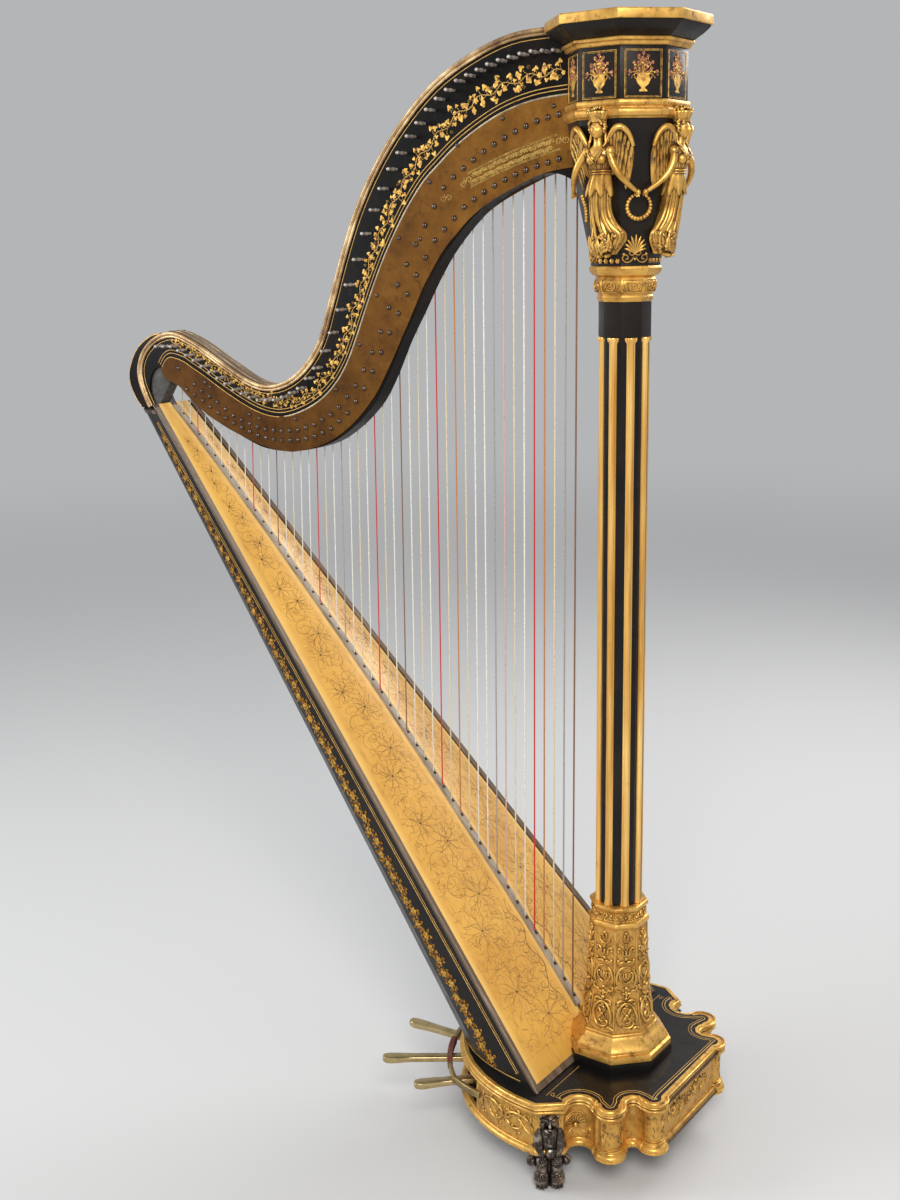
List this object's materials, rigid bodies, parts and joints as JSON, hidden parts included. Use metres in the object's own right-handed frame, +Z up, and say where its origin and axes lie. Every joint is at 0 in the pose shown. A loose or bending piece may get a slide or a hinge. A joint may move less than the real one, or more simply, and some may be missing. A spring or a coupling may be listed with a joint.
{
  "type": "pedal harp",
  "caption": "Large floor harp with an octagonal column on a lobed base, tapering soundbox, curved neck with tuning pins, and pedals that turn fork discs through rods in the column.",
  "frame": {"origin": "middle of the footprint on the floor", "axes": "+X points from the player to the column, +Y to the player's left, +Z up"},
  "size_m": [1.1883, 0.4752, 1.7606],
  "materials": {
    "black_lacquer": "black lacquer over wood",
    "gold_leaf": "worn gilding over carved wood and gesso",
    "soundboard_wood": "varnished spruce, golden",
    "old_brass": "oxidised brass",
    "bright_brass": "handled brass",
    "dark_bronze": "dark bronzed casting with gilt highlights",
    "string_gut": "gut strings on a hardwood strip",
    "grey_steel": "plain steel"
  },
  "bodies": {
    "harp": {"action_plate_left": "old_brass", "action_plate_right": "old_brass", "base_bottom_board": "black_lacquer", "base_bottom_moulding": "gold_leaf", "base_top_board": "black_lacquer", "base_top_moulding": "gold_leaf", "base_wall": "gold_leaf", "capital_band": "gold_leaf", "capital_bell": "black_lacquer", "capital_cornice": "black_lacquer", "capital_frieze": "black_lacquer", "capital_slab": "gold_leaf", "column_collar": "black_lacquer", "column_foot_moulding": "gold_leaf", "column_necking": "gold_leaf", "column_pedestal": "gold_leaf", "column_plinth": "black_lacquer", "column_shaft": "black_lacquer", "crook_back": "black_lacquer", "edge_strip_left": "black_lacquer", "edge_strip_right": "black_lacquer", "figure_front": "gold_leaf", "figure_left": "gold_leaf", "figure_right": "gold_leaf", "lion_foot_left": "dark_bronze", "lion_foot_right": "dark_bronze", "neck": "black_lacquer", "neck_moulding_left": "gold_leaf", "neck_moulding_right": "gold_leaf", "pedal_pivot_rod": "grey_steel", "pedal_rail": "bright_brass", "pedestal_cap": "gold_leaf", "pivot_bracket_left": "bright_brass", "pivot_bracket_right": "bright_brass", "rear_foot_left": "dark_bronze", "rear_foot_right": "dark_bronze", "soundboard": "soundboard_wood", "soundbox_shell": "black_lacquer", "string_band": "string_gut"},
    "pedal_1_body": {"pedal_1": "bright_brass"},
    "pedal_2_body": {"pedal_2": "bright_brass"},
    "pedal_3_body": {"pedal_3": "bright_brass"},
    "pedal_4_body": {"pedal_4": "bright_brass"},
    "pedal_5_body": {"pedal_5": "bright_brass"},
    "pedal_6_body": {"pedal_6": "bright_brass"},
    "pedal_7_body": {"pedal_7": "bright_brass"},
    "pedal_rod_1_body": {"pedal_rod_1": "grey_steel"},
    "pedal_rod_2_body": {"pedal_rod_2": "grey_steel"},
    "pedal_rod_3_body": {"pedal_rod_3": "grey_steel"},
    "pedal_rod_4_body": {"pedal_rod_4": "grey_steel"},
    "pedal_rod_5_body": {"pedal_rod_5": "grey_steel"},
    "pedal_rod_6_body": {"pedal_rod_6": "grey_steel"},
    "pedal_rod_7_body": {"pedal_rod_7": "grey_steel"},
    "fork_disc_1_body": {"fork_disc_1": "bright_brass"},
    "fork_disc_2_body": {"fork_disc_2": "bright_brass"},
    "fork_disc_3_body": {"fork_disc_3": "bright_brass"},
    "fork_disc_4_body": {"fork_disc_4": "bright_brass"},
    "fork_disc_5_body": {"fork_disc_5": "bright_brass"},
    "fork_disc_6_body": {"fork_disc_6": "bright_brass"},
    "fork_disc_7_body": {"fork_disc_7": "bright_brass"}
  },
  "joints": [
    {"name": "pedal_1_press", "type": "hinge", "parent": "harp", "child": "pedal_1_body", "pos_m": [0.5089, -0.021, 0.1], "axis": [0, -1, 0], "range_deg": [0, 3], "stiffness_Nm_per_rad": 20, "springref_deg": -8.59},
    {"name": "pedal_rod_1_pull", "type": "slide", "parent": "harp", "child": "pedal_rod_1_body", "axis": [0, 0, 1], "range_m": [-0.0033, 0]},
    {"name": "fork_disc_1_turn", "type": "hinge", "parent": "harp", "child": "fork_disc_1_body", "pos_m": [0.0973, 0.0003, 1.40887], "axis": [0, 1, 0], "range_deg": [0, 45.5]},
    {"name": "pedal_2_press", "type": "hinge", "parent": "harp", "child": "pedal_2_body", "pos_m": [0.5089, -0.014, 0.1], "axis": [0, -1, 0], "range_deg": [0, 3], "stiffness_Nm_per_rad": 20, "springref_deg": -8.59},
    {"name": "pedal_rod_2_pull", "type": "slide", "parent": "harp", "child": "pedal_rod_2_body", "axis": [0, 0, 1], "range_m": [-0.0033, 0]},
    {"name": "fork_disc_2_turn", "type": "hinge", "parent": "harp", "child": "fork_disc_2_body", "pos_m": [0.0784, 0.0003, 1.378], "axis": [0, 1, 0], "range_deg": [0, 45.5]},
    {"name": "pedal_3_press", "type": "hinge", "parent": "harp", "child": "pedal_3_body", "pos_m": [0.5089, -0.007, 0.1], "axis": [0, -1, 0], "range_deg": [0, 3], "stiffness_Nm_per_rad": 20, "springref_deg": -8.59},
    {"name": "pedal_rod_3_pull", "type": "slide", "parent": "harp", "child": "pedal_rod_3_body", "axis": [0, 0, 1], "range_m": [-0.0033, 0]},
    {"name": "fork_disc_3_turn", "type": "hinge", "parent": "harp", "child": "fork_disc_3_body", "pos_m": [0.0595, 0.0003, 1.34776], "axis": [0, 1, 0], "range_deg": [0, 45.5]},
    {"name": "pedal_4_press", "type": "hinge", "parent": "harp", "child": "pedal_4_body", "pos_m": [0.5089, 0, 0.1], "axis": [0, -1, 0], "range_deg": [0, 3], "stiffness_Nm_per_rad": 20, "springref_deg": -8.59},
    {"name": "pedal_rod_4_pull", "type": "slide", "parent": "harp", "child": "pedal_rod_4_body", "axis": [0, 0, 1], "range_m": [-0.0033, 0]},
    {"name": "fork_disc_4_turn", "type": "hinge", "parent": "harp", "child": "fork_disc_4_body", "pos_m": [0.0406, 0.0003, 1.31253], "axis": [0, 1, 0], "range_deg": [0, 45.5]},
    {"name": "pedal_5_press", "type": "hinge", "parent": "harp", "child": "pedal_5_body", "pos_m": [0.5089, 0.007, 0.1], "axis": [0, -1, 0], "range_deg": [0, 3], "stiffness_Nm_per_rad": 20, "springref_deg": -8.59},
    {"name": "pedal_rod_5_pull", "type": "slide", "parent": "harp", "child": "pedal_rod_5_body", "axis": [0, 0, 1], "range_m": [-0.0033, 0]},
    {"name": "fork_disc_5_turn", "type": "hinge", "parent": "harp", "child": "fork_disc_5_body", "pos_m": [0.0217, 0.0003, 1.27869], "axis": [0, 1, 0], "range_deg": [0, 45.5]},
    {"name": "pedal_6_press", "type": "hinge", "parent": "harp", "child": "pedal_6_body", "pos_m": [0.5089, 0.014, 0.1], "axis": [0, -1, 0], "range_deg": [0, 3], "stiffness_Nm_per_rad": 20, "springref_deg": -8.59},
    {"name": "pedal_rod_6_pull", "type": "slide", "parent": "harp", "child": "pedal_rod_6_body", "axis": [0, 0, 1], "range_m": [-0.0033, 0]},
    {"name": "fork_disc_6_turn", "type": "hinge", "parent": "harp", "child": "fork_disc_6_body", "pos_m": [0.0028, 0.0003, 1.24899], "axis": [0, 1, 0], "range_deg": [0, 45.5]},
    {"name": "pedal_7_press", "type": "hinge", "parent": "harp", "child": "pedal_7_body", "pos_m": [0.5089, 0.021, 0.1], "axis": [0, -1, 0], "range_deg": [0, 3], "stiffness_Nm_per_rad": 20, "springref_deg": -8.59},
    {"name": "pedal_rod_7_pull", "type": "slide", "parent": "harp", "child": "pedal_rod_7_body", "axis": [0, 0, 1], "range_m": [-0.0033, 0]},
    {"name": "fork_disc_7_turn", "type": "hinge", "parent": "harp", "child": "fork_disc_7_body", "pos_m": [-0.0161, 0.0003, 1.229], "axis": [0, 1, 0], "range_deg": [0, 45.5]}
  ],
  "couplings": [
    {"joint": "pedal_rod_1_pull", "follows": "pedal_1_press", "m_per_rad": -0.06},
    {"joint": "fork_disc_1_turn", "follows": "pedal_1_press", "ratio": 15},
    {"joint": "pedal_rod_2_pull", "follows": "pedal_2_press", "m_per_rad": -0.06},
    {"joint": "fork_disc_2_turn", "follows": "pedal_2_press", "ratio": 15},
    {"joint": "pedal_rod_3_pull", "follows": "pedal_3_press", "m_per_rad": -0.06},
    {"joint": "fork_disc_3_turn", "follows": "pedal_3_press", "ratio": 15},
    {"joint": "pedal_rod_4_pull", "follows": "pedal_4_press", "m_per_rad": -0.06},
    {"joint": "fork_disc_4_turn", "follows": "pedal_4_press", "ratio": 15},
    {"joint": "pedal_rod_5_pull", "follows": "pedal_5_press", "m_per_rad": -0.06},
    {"joint": "fork_disc_5_turn", "follows": "pedal_5_press", "ratio": 15},
    {"joint": "pedal_rod_6_pull", "follows": "pedal_6_press", "m_per_rad": -0.06},
    {"joint": "fork_disc_6_turn", "follows": "pedal_6_press", "ratio": 15},
    {"joint": "pedal_rod_7_pull", "follows": "pedal_7_press", "m_per_rad": -0.06},
    {"joint": "fork_disc_7_turn", "follows": "pedal_7_press", "ratio": 15}
  ]
}
